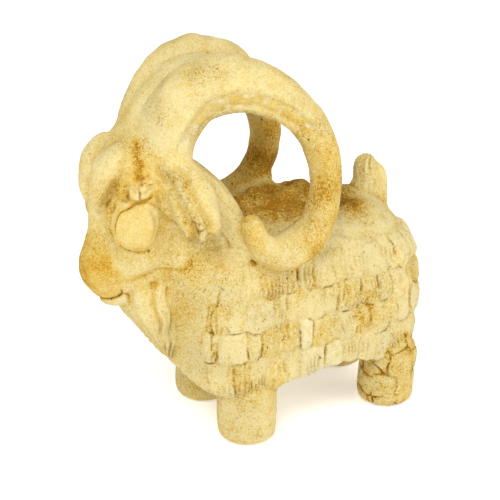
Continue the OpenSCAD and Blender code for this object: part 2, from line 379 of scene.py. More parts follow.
# How far the clay is smeared over its joints: 0 leaves them as they are, 1 fills them
smear = {name: 0.9 for name in NAMES}
smear.update({name: 0.12 for name in FLEECE})
for kind, amount in (("eye", 0.45), ("lower_lip", 0.0), ("brow", 0.6), ("ear", 0.45),
                     ("beard", 0.5), ("trunk", 0.8), ("leg", 0.6), ("forelock", 0.4),
                     ("snout", 0.8)):
    smear.update({name: amount for name in NAMES if name.startswith(kind)})

whole = closed(nearest, TIGHT)
whole += (closed(nearest, SMEARED) - whole) * spread(smear)
del nearest

# How far the facets of a piece are rounded
FINE, CRISP, MIDDLE, SOFT, BROAD = 1.1, 1.5, 2.2, 3.0, 4.2
softness = {name: MIDDLE for name in NAMES}
softness.update({name: FINE for name in FLEECE})
softness.update({name: BROAD for name in ("trunk_shell", "neck", "head_shell")})
softness.update({name: SOFT for name in ("nape", "beard")})
softness.update({name: CRISP for name in NAMES if name.startswith(("brow", "ear", "tail"))})
softness.update({name: FINE for name in NAMES if name.startswith(("eye", "lower_lip"))})
wanted = spread(softness)
soft = [blur(whole, FINE), blur(whole, MIDDLE)]
coarse = soft[1][::2, ::2, ::2]
coarse = blur(coarse, math.sqrt(BROAD ** 2 - MIDDLE ** 2) / 2)
body = soft[0] + (soft[1] - soft[0]) * np.clip((wanted - FINE) / (MIDDLE - FINE), 0, 1)
body += (double(coarse) - soft[1]) * np.clip((wanted - MIDDLE) / (BROAD - MIDDLE), 0, 1)
# Above zero in hollows and below zero on ridges
DENT = 5.0          # blurred this much further
dent = double(soft[1][::2, ::2, ::2] - blur(coarse, DENT / 2))
del soft, wanted, whole, coarse

# The smearing closes the vent in the belly, midway between the legs, so it is opened again, as a
# blind hole in the filled trunk.
trunk_low, trunk_high = box("trunk_shell")
VENT_RADIUS = 5.0
VENT_TOP = 20.0     # above the trunk's hem
vent_y = (middle("leg_front_left")[1] + middle("leg_hind_left")[1]) / 2
across, lengthwise = [low[k] + np.arange(shape[k]) * STEP for k in (0, 1)]
from_vent = np.hypot(across[:, None], lengthwise[None, :] - vent_y)
vent = np.minimum((VENT_RADIUS - from_vent)[:, :, None], trunk_low[2] + VENT_TOP - level)
body = np.maximum(body, vent.astype(np.float32))
del vent


# ---------------------------------------------------------------- each piece's share of the skin

OVERLAP = 2.5       # a piece runs on this far under its neighbour, just below the skin
DIP = 0.03          # how fast it sinks below the skin there
CRUMB = 0.03        # loose bits smaller than this share of the largest are dropped


def share(name):
    """The skin of one piece, as points and four-sided faces."""
    part, field = parts[name]
    mine = field - claim[name]
    other = np.where(owner[part] == INDEX[name], second[part], first[part])
    past = np.maximum(mine - other, 0)
    f = body[part] + DIP * np.minimum(past, OVERLAP) ** 2 + np.maximum(past - OVERLAP, 0)
    grid = vdb.FloatGrid(BAND)
    grid.copyFromArray(np.ascontiguousarray(np.pad(f, 1, constant_values=BAND)))
    points, _, quads = grid.convertToPolygons(isovalue=0.0, adaptivity=0.0)
    points = (points + corner_of(part) - 1) * STEP + low
    quads = quads.astype(np.int64)
    tag = islands(len(points), quads)[quads[:, 0]]
    keys, counts = np.unique(tag, return_counts=True)
    quads = quads[np.isin(tag, keys[counts > CRUMB * counts.max()])]
    used, back = np.unique(quads, return_inverse=True)
    return points[used], back.reshape(-1, 4)


shares = {name: share(name) for name in NAMES}
del first, second, owner
ends = np.cumsum([0] + [len(shares[name][0]) for name in NAMES])
corners = np.concatenate([shares[name][0] for name in NAMES]).astype(np.float32)

# Relief is worked out only near the skin; what lies deeper is hidden by a neighbour.
DEEP = 3.0
active = sample(body, corners) > -DEEP
points = corners[active]
count = len(points)


def slope(p):
    """The direction out of the clay at each place."""
    steps = np.eye(3, dtype=np.float32) * STEP
    return unit(np.stack([sample(body, p + step) - sample(body, p - step) for step in steps], 1))


normals = slope(points)
hollow = sample(dent, points)
near_cache = {}


def reach(part, field):
    """The points inside a window, and the field's values there."""
    start = corner_of(part)
    q = (points - low.astype(np.float32)) / STEP - start
    i = np.flatnonzero(((q > 0) & (q < np.array(field.shape) - 1)).all(1))
    return i, sample(field, points[i], start)


def near(name):
    """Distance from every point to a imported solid, at most BAND."""
    if name not in near_cache:
        i, values = reach(*parts[name])
        near_cache[name] = np.full(count, BAND, np.float32)
        near_cache[name][i] = values
    return near_cache[name]


# Nearest and second nearest node to each point, and how far away their border is.
here = np.zeros(count, int)
beside = np.zeros(count, int)
pair = np.full((2, count), BAND, np.float32)
for name in NAMES:
    d = near(name) - claim[name]
    wins = d < pair[0]
    next_best = ~wins & (d < pair[1])
    beside = np.where(wins, here, np.where(next_best, INDEX[name], beside))
    pair[1] = np.where(wins, pair[0], np.minimum(pair[1], d))
    here[wins] = INDEX[name]
    pair[0] = np.minimum(pair[0], d)
border = pair[1] - pair[0]

# What is worked out at each point: relief outwards, the fine part of it that wash settles in,
# ochre wash with painted shade in a few places, dark lines, bare or rubbed clay, and pitted grain
LAYERS = ("rise", "fine", "stain", "crack", "pale", "grit")
layer = {key: np.zeros(count, np.float32) for key in LAYERS}


def add(i, **amounts):
    """Adds to some layers at the points i."""
    for key, value in amounts.items():
        layer[key][i] += value


def around(name, within):
    """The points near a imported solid."""
    return np.flatnonzero(near(name) < within)


everywhere = slice(None)

# ---------------------------------------------------------------- relief: joints between pieces

# How deep the crease is where two kinds of piece meet, and how wide; "" is any kind, and the first
# row that fits counts.
CREASES = (
    ("horn", "ear", 0.0, 1.0), ("horn", "head", 0.0, 1.0), ("horn", "neck", 0.0, 1.0),
    ("horn", "nape", 0.0, 1.0), ("horn", "crown", 0.3, 1.5), ("horn", "horn", 0.8, 1.6),
    ("horn", "trunk", 0.35, 1.6), ("horn", "fleece", 0.4, 1.4),
    ("forelock", "forelock", 0.7, 1.0), ("forelock", "", 1.0, 2.4),
    ("eye", "", 0.4, 0.7), ("lip", "", 1.1, 0.9), ("brow", "", 0.35, 1.0),
    ("ear", "nape", 0.3, 2.0), ("ear", "", 0.6, 1.2), ("beard", "", 0.25, 1.6),
    ("leg", "", 0.3, 1.0), ("tail", "", 0.5, 1.1), ("fleece", "trunk", 0.4, 0.8),
)
kinds = np.array([name.replace("lower_", "").split("_")[0] for name in NAMES])
crease = np.zeros(count, np.float32)
width = np.ones(count, np.float32)
done = np.zeros(count, bool)
for one, two, amount, wide in CREASES:
    a = kinds == one
    b = (kinds == two) | (two == "")
    hit = ((a[here] & b[beside]) | (b[here] & a[beside])) & ~done
    crease[hit] = amount
    width[hit] = wide
    done |= hit
i = np.flatnonzero((border < 7) & (crease > 0))
uneven = np.clip(0.75 + 0.6 * noise(points[i], 9, seed=3), 0.1, 1.3)
cut = crease[i] * uneven * bump(border[i], width[i])
dark = crease[i] * np.clip(uneven - 0.55, 0, 1) * bump(border[i], 0.7)
add(i, rise=-cut, fine=-0.8 * cut * ramp(2.2, 0.9, width[i]), crack=dark,
    stain=0.3 * crease[i] * ramp(2.4, 1.2, width[i]) * bump(border[i], 2.2 * width[i]))

# ---------------------------------------------------------------- relief: fleece

# Nearest and second nearest tab to each point
lock_near = np.full(count, BAND, np.float32)
lock_next = np.full(count, BAND, np.float32)
lock_id = np.zeros(count, int)
next_id = np.zeros(count, int)
for k, (_, view, field) in enumerate(locks):
    i, d = reach(view, field)
    a, b = lock_near[i], lock_next[i]
    wins = d < a
    next_id[i] = np.where(wins, lock_id[i], np.where(d < b, k, next_id[i]))
    lock_next[i] = np.where(wins, a, np.minimum(b, d))
    lock_id[i] = np.where(wins, k, lock_id[i])
    lock_near[i] = np.minimum(a, d)

tab_mid = np.array([(own.min(0) + own.max(0)) / 2 for own, _, _ in locks])
tab_half = np.array([np.ptp(own[:, 2]) / 2 for own, _, _ in locks])
tab_out = unit((tab_mid - middle("trunk_shell")) * (1, 1 / 3, 0))
tab_across = np.stack([-tab_out[:, 1], tab_out[:, 0], np.zeros(len(locks))], 1)
# Six random numbers for each tab: its height, two for its seams, how well it is combed, the pitch
# of the comb, and its stain
chance = dice.random_sample((len(locks), 6))

# Tabs stand a little higher or lower, with an open crack or a smeared seam between them.
LIFT = 1.5
i = np.flatnonzero(lock_near < 3)
p = points[i]
mine, other = lock_id[i], next_id[i]
on = ramp(2.5, 0.8, lock_near[i])
gap = lock_next[i] - lock_near[i]
own_share = 0.5 + 0.5 * ramp(0, 2.5, gap)
lift = (chance[:, 0] - 0.45) * LIFT
both = (chance[np.minimum(mine, other), 1] + chance[np.maximum(mine, other), 2]) / 2
parted = ramp(0.4, 0.55, both)
patchy = np.clip(0.35 + 1.7 * noise(p, 9, seed=5), 0, 1.3)
seam = on * (0.06 + 0.94 * parted) * patchy * bump(gap, 1.0)
add(i, rise=on * (own_share * lift[mine] + (1 - own_share) * lift[other]) - 1.5 * seam,
    fine=-0.9 * seam,
    crack=1.3 * on * parted * bump(gap, 0.8) * np.clip(2.2 * noise(p, 7, seed=6) + 0.05, 0, 1),
    stain=0.7 * seam + 0.6 * on * (chance[mine, 5] - 0.5) * ramp(0, 2, gap))

# Some are combed from top to bottom, and all are streaked that way.
along = ((p - tab_mid[mine]) * tab_across[mine]).sum(1)
down = (tab_mid[mine][:, 2] - p[:, 2]) / tab_half[mine]     # -1 at a tab's top, 1 at its bottom
combed = (on * ramp(0.45, 0.6, chance[mine, 3]) * ramp(0.4, 1.8, gap)
          * np.clip(0.45 + 1.6 * noise(p, 9, seed=7), 0, 1))
pitch = 2.2 + 1.2 * chance[mine, 4]
wave = np.sin(2 * np.pi * (along + 1.3 * noise(p, 11, seed=8)) / pitch + 6 * chance[mine, 5])
teeth = combed * (np.abs(wave) ** 0.7 * np.sign(wave) - 0.2) * ramp(-1.1, -0.2, down)
streaks = noise(squeezed(p, 1, 1, 0.22), 2.6, seed=9)
strokes = on * (streaks + 0.6 * noise(p, 5, seed=10))
lower_edge = on * ramp(0.3, 0.9, down) * ramp(0.3, 1.0, gap) * ramp(0.3, 0.8, chance[mine, 2])
add(i, rise=0.6 * teeth + 0.45 * strokes, fine=1.1 * teeth + 0.75 * strokes, grit=0.25 * on,
    pale=0.7 * on * ramp(0.72, 0.9, chance[mine, 0]) * ramp(0.4, 2.0, gap) + 0.35 * lower_edge)

# ---------------------------------------------------------------- relief: scored lines and hair

SPACING = 1.5       # between the points of a scored line
ROUNDS = 5          # the points are moved onto the skin this many times,
STRIDE = 4          # by no more than this


def mirrored(start, sign, *offsets):
    """Places by their offsets from a start; x counts outwards on either side of the goat."""
    return [start + np.array((x * sign, y, z)) for x, y, z in offsets]


def on_skin(path):
    """The path in short steps, each point moved onto the skin."""
    path = np.array(path, np.float32)
    dense = []
    for a, b in zip(path[:-1], path[1:]):
        steps = max(2, int(np.linalg.norm(b - a) / SPACING) + 1)
        dense.extend(a + (b - a) * t for t in np.linspace(0, 1, steps, endpoint=False))
    dense = np.array(dense + [path[-1]], np.float32)
    for _ in range(ROUNDS):
        off = np.clip(sample(body, dense), -STRIDE, STRIDE)
        dense -= (off[:, None] * slope(dense)).astype(np.float32)
    return dense


def path_distance(p, path):
    """Distance to a path, and the difference from its nearest point."""
    far = 99.0
    best = np.full(len(p), far, np.float32)
    away = np.zeros_like(p)
    for a, b in zip(path[:-1], path[1:]):
        t = np.clip(((p - a) @ (b - a)) / max((b - a) @ (b - a), 1e-6), 0, 1)
        difference = p - a - t[:, None] * (b - a)
        d = np.linalg.norm(difference, axis=1)
        closer = d < best
        best[closer] = d[closer]
        away[closer] = difference[closer]
    return best, away


def groove(path, wide, deep, wobble=0.0, seed=0, dark=1.0, wash=0.0):
    """A scored line on the skin along a path; a dark line comes and goes in it."""
    path = on_skin(path)
    pad = 3 * wide + 2 * wobble + 2
    i = np.flatnonzero(((points > path.min(0) - pad) & (points < path.max(0) + pad)).all(1))
    p = points[i]
    if wobble:
        p = p + wobble * noise3(p, 5, seed)
    d, _ = path_distance(p, path)
    cut = deep * bump(d, wide)
    broken = np.clip(0.6 + 1.4 * noise(points[i], 5, seed + 3), 0.1, 1) if dark else 0.0
    add(i, rise=-cut, fine=-0.8 * cut if wide < 2 else 0,
        crack=dark * broken * bump(d, wide * 0.6), stain=wash * bump(d, wide * 1.6))


def strands(i, phase, pitch, deep, fade):
    """Combed hair: waves of one pitch with finer ones on them."""
    comb = np.sin(2 * np.pi * phase / pitch) + 0.5 * np.sin(2 * np.pi * phase / (pitch * 0.43) + 1)
    add(i, rise=deep * fade * comb, fine=0.9 * deep * fade * comb)


# ---------------------------------------------------------------- relief: head

# Across the ear, from the ridge down its middle: height, distance from the ridge, width
LOBES = ((1.9, 7.6, 2.6), (-2.0, 4.0, 1.8), (2.0, 0.0, 2.3), (-2.3, -4.6, 1.9), (2.2, -9.5, 3.6))

for side, sign in SIDES:
    # ear: a rough ridge down the middle between two smooth lobes, and a broken tip
    name = "ear_" + side
    a, b = box(name)
    foot = a[2]
    outer = max(abs(a[0]), abs(b[0])) * sign
    front = (outer, a[1], foot)
    ridge = on_skin(mirrored(front, sign, (-18, 3, 43), (-12, 6.4, 36), (-10, 11, 26),
                             (-8, 17.5, 13), (-8, 20.5, 4)))
    i = around(name, 3)
    p = points[i]
    z = p[:, 2]
    on = ramp(2.4, 0.4, near(name)[i]) * ramp(foot + 45, foot + 37, z)
    d, away = path_distance(p, ridge)
    bend = d * np.sign(away[:, 2] * 0.35 - away[:, 1]) + 0.8 * noise(p, 9, seed=10)
    bend = bend.astype(np.float32)      # below zero behind the ridge
    lobes = sum(tall * bump(bend - at, wide) for tall, at, wide in LOBES)
    low_part = ramp(foot + 24, foot + 8, z)
    rough = bump(bend, 3.0) * noise(p, 2.6, seed=11) * (0.4 + 0.6 * low_part)
    tip = ramp(foot + 12, foot + 4, z) * noise(p, 3.0, seed=12)
    torn_edge = (bump(border[i], 1.1) * ramp(foot + 10, foot + 5, z)
                 * np.clip(0.4 + 2 * noise(p, 5, seed=29), 0, 1))
    add(i, rise=on * (lobes * (0.7 + 0.3 * low_part) + 0.9 * rough + 0.9 * tip),
        fine=on * (1.1 * rough + 0.9 * tip),
        stain=on * (0.6 * bump(bend - 5, 3.0) * low_part + 0.12 * bump(bend, 3)
                    + 0.4 * bump(bend + 4.6, 2.2) + 0.1 * bump(bend - 4.0, 2.0)),
        crack=on * 5.0 * np.clip(-rough - 0.08, 0, 1) + 1.3 * torn_edge,
        grit=on * 0.5 * bump(bend, 3.5))
    # two cracks round the tip, and the broad valley in front of the ear
    groove(mirrored(front, sign, (-8, 11, 4), (-8, 15, 2), (-9, 20, 1), (-9, 24, 6)),
           wide=0.9, deep=1.5, wobble=1.0, seed=14, dark=1.4, wash=0.6)
    groove(mirrored(front, sign, (-8, 23, 2.5), (-8, 26.5, 6)),
           wide=0.9, deep=1.3, wobble=1.0, seed=18, dark=1.3, wash=0.5)
    groove(mirrored(front, sign, (-15, 1.2, 37.5), (-15, 2.3, 26), (-15, 5.6, 15.5),
                    (-15, 11, 5.5), (-16, 17, -1)),
           wide=3.4, deep=3.6, wobble=0.6, seed=27, dark=0.0)
    # a hairline below the ear, and a pit where the horn's tip meets the shoulder
    rear = (outer, b[1], foot)
    groove(mirrored(rear, sign, (-12, 3.6, -1.2), (-12, 6.7, -6.7), (-12, 9.2, -10.8)),
           wide=0.55, deep=0.9, wobble=0.5, seed=19, dark=1.3)
    horn_low, horn_high = box("horn_" + side)
    horn_out = max(abs(horn_low[0]), abs(horn_high[0])) * sign
    groove(mirrored((horn_out, horn_low[1], horn_low[2]), sign, (-15, 53, 6), (-15.5, 56.4, 4.6)),
           wide=1.3, deep=1.6, wobble=0.4, seed=21, dark=1.2, wash=0.4)

    # eye: pressed nearly flat, with a fold of lid round its front and top
    name = "eye_" + side
    centre = middle(name)
    i = around(name, 8)
    d = near(name)[i]
    toward = points[i] - centre
    off = np.maximum(np.linalg.norm(toward[:, 1:], axis=1), 1)
    forward = (-toward[:, 1] + 0.7 * toward[:, 2]) / off
    fold = bump(d - 3.6, 1.7) * ramp(0.0, 0.8, forward)
    rim = (bump(border[i], 0.9) * ramp(0.2, 0.8, forward)
           * np.clip(0.4 + 1.6 * noise(points[i], 5, seed=15), 0, 1))
    add(i, rise=1.2 * fold - 1.5 * (here[i] == INDEX[name]) * ramp(0.3, 2.8, border[i])
        - 0.25 * bump(d - 1.2, 1.1),
        grit=-0.6 * ramp(2.0, 0.5, d), crack=0.7 * rim,
        stain=0.15 * bump(d - 2.0, 1.6) * ramp(-0.2, 0.7, forward) + 0.24 * ramp(0.5, -0.5, d))
    # creases over the lid and below the eye
    groove(mirrored(centre, sign, (1.5, 6, 13.5), (1, -1.5, 12.5), (-0.5, -9.5, 8.7),
                    (-2, -14.5, 3.2), (-2.5, -16, -3.5)),
           wide=0.9, deep=1.3, wobble=0.5, seed=81, dark=0.9, wash=0.3)
    groove(mirrored(centre, sign, (-2.5, -17.5, -12.5), (-0.5, -9.5, -15.5), (1.5, -1, -17),
                    (2.5, 7.5, -15.5)),
           wide=0.6, deep=0.7, wobble=0.5, seed=85, dark=0.8, wash=0.2)

    # brow: a torn nub with cracks in front of it and a crater behind
    name = "brow_" + side
    centre = middle(name)
    i = around(name, 5)
    d = near(name)[i]
    torn = ramp(4.5, 0.5, d) * noise(points[i], 3.2, seed=14)
    top = ramp(1.5, -0.5, d)
    add(i, rise=1.5 * torn - 1.3 * top, fine=1.2 * torn, pale=0.3 * top, grit=-0.3)
    groove(mirrored(centre, sign, (3.5, -8.5, 4.5), (3.5, -6.6, 1.5), (3.5, -4, -2.1),
                    (3.5, -3.5, -5.6)),
           wide=0.8, deep=1.5, wobble=0.7, seed=20, dark=1.4)
    groove(mirrored(centre, sign, (2.5, -3, 5.5), (3, 1, 5)),
           wide=0.7, deep=0.8, wobble=0.6, seed=23, dark=1.1)
    groove(mirrored(centre, sign, (4, -1, -6.5), (5, 4, -6)),
           wide=0.8, deep=0.9, wobble=0.6, seed=26, dark=1.0)
    groove(mirrored(centre, sign, (6, 5.0, 3), (6.5, 6.3, -1)),
           wide=3.0, deep=2.3, wobble=0.5, seed=22, dark=0.0, wash=0.2)
    # ochre groove from the brow up to the root of the horn
    groove(mirrored(centre, sign, (-5.5, -5, 29), (-3.5, -4.0, 24), (-1.0, -2.5, 16),
                    (0.5, -1.5, 9), (1.0, -3.5, 5)),
           wide=2.2, deep=0.5, wobble=1.2, seed=24, dark=0.3, wash=0.75)

    # jaw: a crease from the corner of the mouth to below the ear
    lip_low, lip_high = box("lower_lip")
    groove(mirrored((lip_high[0] * sign, lip_low[1], lip_high[2]), sign,
                    (6, 8, 8), (16, 19, 12), (20, 29.5, 12.5), (22, 39, 15.5), (22, 43, 23)),
           wide=1.8, deep=0.7, wobble=1.2, seed=28, dark=0.1, wash=0.3)

    # forelock: faint strands that run down to the tip, with a groove below and a hairline above
    name = "forelock_" + side
    centre = middle(name)
    i = around(name, 3)
    p = points[i]
    strands(i, p[:, 0] * 0.9 * sign + 0.25 * p[:, 1] + noise(p, 9, seed=31), pitch=5.2, deep=0.1,
            fade=ramp(1.8, 0.2, near(name)[i]))
    add(i, rise=1.2 * (here[i] == INDEX[name]) * ramp(0.0, 4.0, border[i]))
    # the wash in the groove below is painted shade, warming the shadow that lies in it
    groove(mirrored(centre, sign, (6, 0.5, -1.5), (6, -2.4, -8), (6, -6, -13), (4, -10, -17)),
           wide=2.0, deep=1.9, wobble=0.6, seed=32, dark=0.0, wash=0.12)
    groove(mirrored(centre, sign, (-9, -12, 7.7), (-9, -8.5, 9), (-9, -6, 10)),
           wide=0.6, deep=0.7, wobble=0.3, seed=34, dark=1.2 if side == "left" else 0)

# ---------------------------------------------------------------- relief: hair, beard, tail

DEEPEST, HIGHEST = -4.6, 3.5        # limits of the relief
BEARD_RADIUS, TAIL_RADIUS = 17, 8   # turn the angle round a piece into a length

beard_back = box("beard")[1][1]
i = around("beard", 3)
p = points[i]
turn = np.arctan2(p[:, 0], -(p[:, 1] - beard_back + 2)) * BEARD_RADIUS
strands(i, turn + 3.0 * noise(squeezed(p, 1, 1, 0.5), 14, seed=35), pitch=5.6, deep=1.0,
        fade=ramp(2.0, 0.0, near("beard")[i]) * np.clip(0.7 + 0.7 * noise(p, 13, seed=36), 0, 1.2))

i = around("nape", 3)
p = points[i]
strands(i, p[:, 1] * 0.75 + p[:, 2] * 0.6 + 2.4 * noise(p, 14, seed=38), pitch=7.0, deep=0.3,
        fade=ramp(2.5, 0.3, near("nape")[i]))

i = around("tail", 3)
p = points[i]
tail_mid = middle("tail")
turn = np.arctan2(p[:, 0] - tail_mid[0], p[:, 1] - tail_mid[1]) * TAIL_RADIUS
strands(i, turn + 1.6 * noise(p, 9, seed=41), pitch=4.6, deep=0.65,
        fade=ramp(2.0, 0.3, near("tail")[i]) * np.clip(0.7 + noise(p, 10, seed=42), 0, 1.3))
# its tip is cut off obliquely, lower behind
tail_low, tail_high = box("tail")
oblique = (ramp(tail_high[2] - 15, tail_high[2] - 2, p[:, 2])
           * ramp(tail_mid[1] - 3, tail_mid[1] + 6, p[:, 1]))
add(i, rise=DEEPEST * oblique, stain=0.2)

# ---------------------------------------------------------------- relief: back, rump and legs

# the ochre back under the horns, rough and lumpy
top = trunk_high[2]
trunk_near = np.minimum(near("trunk_shell"), near("neck"))
horn_near = np.minimum(near("horn_left"), near("horn_right"))
i = np.flatnonzero((trunk_near < 6.5) & (points[:, 2] > top - 32))
p = points[i]
x, y, z = p.T
saddle = (ramp(38, 22, np.abs(x)) * ramp(top - 30, top - 18, z)
          * ramp(tail_low[1] + 6, tail_low[1] - 16, y)
          * ramp(trunk_low[1] + 10, trunk_low[1] + 26, y)
          * ramp(0.1, 0.5, normals[i, 2]) * ramp(2.0, 5.0, horn_near[i]))
rough = np.abs(layered(p, 15, seed=44))
lumps = 5.0 * noise(p, 13, seed=46) + 0.7 * noise(p, 4, seed=47)
add(i, rise=saddle * (rough + lumps - 0.2), fine=saddle * (0.5 * rough - 0.35),
    stain=saddle * (0.92 + 0.5 * noise(p, 12, seed=48)), grit=0.1 * saddle)

# hair brushed aslant over the rump, round the tail
rump = np.array((0, tail_mid[1] - 14, top - 14), np.float32)
from_rump = np.linalg.norm((points - rump) * (0.6, 0.6, 1), axis=1)
i = np.flatnonzero((from_rump < 40) & (near("tail") > 1.5) & (points[:, 2] > top - 45))
p = points[i]
x, y, z = p.T
fade = (ramp(40, 26, from_rump[i]) * (0.35 + 0.65 * ramp(0.5, 2.5, lock_near[i]))
        * ramp(1.5, 4, near("tail")[i]) * ramp(16, 26, np.abs(x)))
diagonal = np.abs(x) * 0.5 + z * 0.85 + 0.25 * y + 2.2 * noise(p, 14, seed=51)
strands(i, diagonal, pitch=6.0, deep=0.6, fade=fade)

# the trunk and neck outside the fleece, stroked lengthwise
i = np.flatnonzero((trunk_near < 4) & (lock_near > 1.0))
p = points[i]
fade = ramp(1.0, 2.5, lock_near[i]) * ramp(4, 2, trunk_near[i])
brushed = (noise(squeezed(p, 1, 0.35, 1), 2.8, seed=55)
           * ramp(-0.3, 0.4, noise(p, 20, seed=56)))
add(i, rise=fade * 0.6 * brushed, fine=fade * 0.9 * brushed, grit=0.3 * fade)

# legs: dried-out clay, cracked into plates on the hind ones
PLATE = 12.5
legs = np.minimum.reduce([near(name) for name in NAMES if name.startswith("leg_")])
i = np.flatnonzero(legs < 3)
p = points[i]
on = ramp(3, 0.5, legs[i])
bent = p + 2.2 * noise3(p, 9, seed=60)
edge, number = cells(bent, PLATE)
hind = ramp(vent_y - 11, vent_y + 19, p[:, 1])
some = np.clip(-0.6 + 1.15 * hind + 1.4 * noise(p, 15, seed=64), 0, 1)
cut = on * some * bump(edge, 0.075)
add(i, rise=-1.1 * cut + on * (number - 0.5) * 0.8 * (0.3 + 0.7 * hind) * ramp(0, 0.15, edge),
    fine=-0.6 * cut,
    stain=0.8 * cut + on * (hind * (0.3 + 0.25 * noise(p, 9, seed=65))
                            + 0.3 * noise(p, 4.5, seed=67)),
    crack=on * some * bump(edge, 0.05), grit=0.35 * on)

# the front edge of the fleece is a crack from the horn down to the leg
for _, sign in SIDES:
    groove(mirrored((trunk_high[0] * sign, trunk_low[1], trunk_low[2]), sign,
                    (-3, 12.3, 74), (-1, 7.6, 67.3), (-1, 3, 60.3), (-2, 2.3, 47.6),
                    (-2, 5.4, 34.8), (-2, 4, 25.5)),
           wide=0.8, deep=0.8, wobble=1.8, seed=66, dark=0.9, wash=0.3)

# ---------------------------------------------------------------- relief: horns

for side, sign in SIDES:
    # The underside of the curl is pressed flat, with an edge on its outer side.
    name = "horn_" + side
    a, b = box(name)
    i = around(name, 3)
    p = points[i]
    _, y, z = p.T
    on = ramp(2.5, 0.3, near(name)[i])
    hub = np.array((0, (a[1] + b[1]) / 2 + 7, (a[2] + b[2]) / 2 + 4), np.float32)
    inward = unit((hub - p) * np.array((0, 1, 1), np.float32))
    inward = unit(inward + np.array((1.7 * sign, 0, 0)))
    facing = (normals[i] * inward).sum(1)
    high_part = ramp(hub[2] + 4, hub[2] + 18, z)
    flat = ramp(0.84, 0.94, facing)
    edge = bump(facing - 0.74, 0.1)
    scratch = (noise(squeezed(p, 0.35, 0.35, 0.8), 1.6, seed=72)
               * ramp(0.0, 0.5, noise(p, 22, seed=73)))
    rubbed = ramp(0.05, 0.4, noise(squeezed(p, 1, 0.6, 1), 6, seed=70))
    # ochre on the flat, on the lower part and behind; on the side turned to the goat, ochre with
    # painted shade, where the other horn shades it
    below = 1 - ramp(hub[2] - 30, hub[2] + 20, z)
    washed = ramp(-0.6, 0.6, noise(p, 18, seed=75))
    turned_in_ochre_and_shade = ramp(0.2, 0.9, -sign * normals[i, 0])
    behind = ramp(hub[1] + 8, hub[1] + 30, y) * ramp(b[2] - 20, b[2] - 60, z)
    add(i, rise=on * high_part * (1.1 * edge - 1.9 * flat) + on * 0.14 * scratch,
        fine=on * 0.5 * scratch, pale=on * flat * high_part * 1.3 * rubbed,
        stain=on * (0.42 * flat * high_part + 0.55 * below * washed + 0.22 * turned_in_ochre_and_shade
                    + 0.45 * behind),
        grit=on * high_part * (0.55 * ramp(0.0, 0.5, noise(p, 16, seed=77)) - 0.3 * flat))

# ---------------------------------------------------------------- relief: the whole skin

i = around("snout", 3)
p = points[i]
snout_low = box("snout")[0]
muzzle = ramp(3, 0, near("snout")[i]) * ramp(snout_low[2] + 52, snout_low[2] + 20, p[:, 2])
add(i, stain=0.5 * muzzle * np.clip(0.9 + 0.5 * noise(p, 8, seed=80), 0, 1.5), grit=-0.25 * muzzle)
face = np.minimum(near("head_shell"), near("snout"))
i = np.flatnonzero(face < 3)
add(i, stain=0.3 * ramp(3, 0, face[i]))

i = around("neck", 3)
add(i, stain=0.14 * ramp(3, 0, near("neck")[i]))
add(around("lower_lip", 1), pale=0.45)
i = around("lower_lip", 4)
lip_line = bump(border[i], 0.9) * (kinds[here[i]] == "snout")
add(i, crack=1.2 * lip_line, rise=-0.6 * lip_line, stain=0.3 * ramp(4, 1, near("lower_lip")[i]))

# the clay as a whole: uneven by hand, more so over the fleece
fleecy = ramp(2.5, 0.8, lock_near)
still = ramp(0.0, 5.0, points[:, 2])        # the soles stay flat
drift = (0.8 * noise3(points, 24, seed=100)
         + (0.45 + 0.7 * fleecy)[:, None] * noise3(points, 11, seed=110))
small = noise(points, 2.1, seed=93)
add(everywhere, rise=0.45 * noise(points, 19, seed=90) + 0.26 * noise(points, 8.5, seed=91)
    + 0.13 * noise(points, 3.6, seed=92) + 0.07 * small, fine=0.12 * small)
moved = corners.copy()
rise = np.clip(layer["rise"], DEEPEST, HIGHEST)
moved[active] += still[:, None] * (normals * rise[:, None] + drift)
moved[:, 2] = np.maximum(moved[:, 2], 0)

# wash settles in hollows and in fine relief, and is rubbed off ridges
fine = np.clip(layer["fine"], -1, 0.5)
add(everywhere, crack=0.25 * np.clip(-fine - 0.7, 0, 1),
    stain=0.14 + 0.2 * ramp(0.0, 1.8, hollow) - 0.15 * ramp(0.0, -1.2, hollow) - 0.4 * fine
    + 0.34 * noise(points, 32, seed=130) + 0.22 * noise(points, 13, seed=131),
    grit=0.45 + 0.45 * noise(points, 24, seed=132))


# The layers that the material reads, at every point of the meshes
looks = {}
for key in ("stain", "crack", "pale", "grit"):
    looks[key] = np.zeros(len(corners), np.float32)
    looks[key][active] = layer[key] if key == "stain" else np.clip(layer[key], 0, 1)


# ---------------------------------------------------------------- objects

def write_mesh(name, points, quads, values):
    """A smooth mesh object with a named value of each kind at every point."""
    mesh = bpy.data.meshes.new(name)
    mesh.vertices.add(len(points))
    mesh.vertices.foreach_set("co", (points / 1000).astype(np.float32).ravel())
    mesh.loops.add(quads.size)
    mesh.loops.foreach_set("vertex_index", quads[:, ::-1].astype(np.int32).ravel())
    mesh.polygons.add(len(quads))
    mesh.polygons.foreach_set("loop_start", np.arange(0, quads.size, 4, dtype=np.int32))
    mesh.polygons.foreach_set("use_smooth", np.ones(len(quads), bool))
    mesh.update(calc_edges=True)
    for key, value in values.items():
        attribute = mesh.attributes.new(key, "FLOAT", "POINT")
        attribute.data.foreach_set("value", value.astype(np.float32))
    obj = bpy.data.objects.new(name, mesh)
    bpy.context.scene.collection.objects.link(obj)
    return obj


# ---------------------------------------------------------------- materials

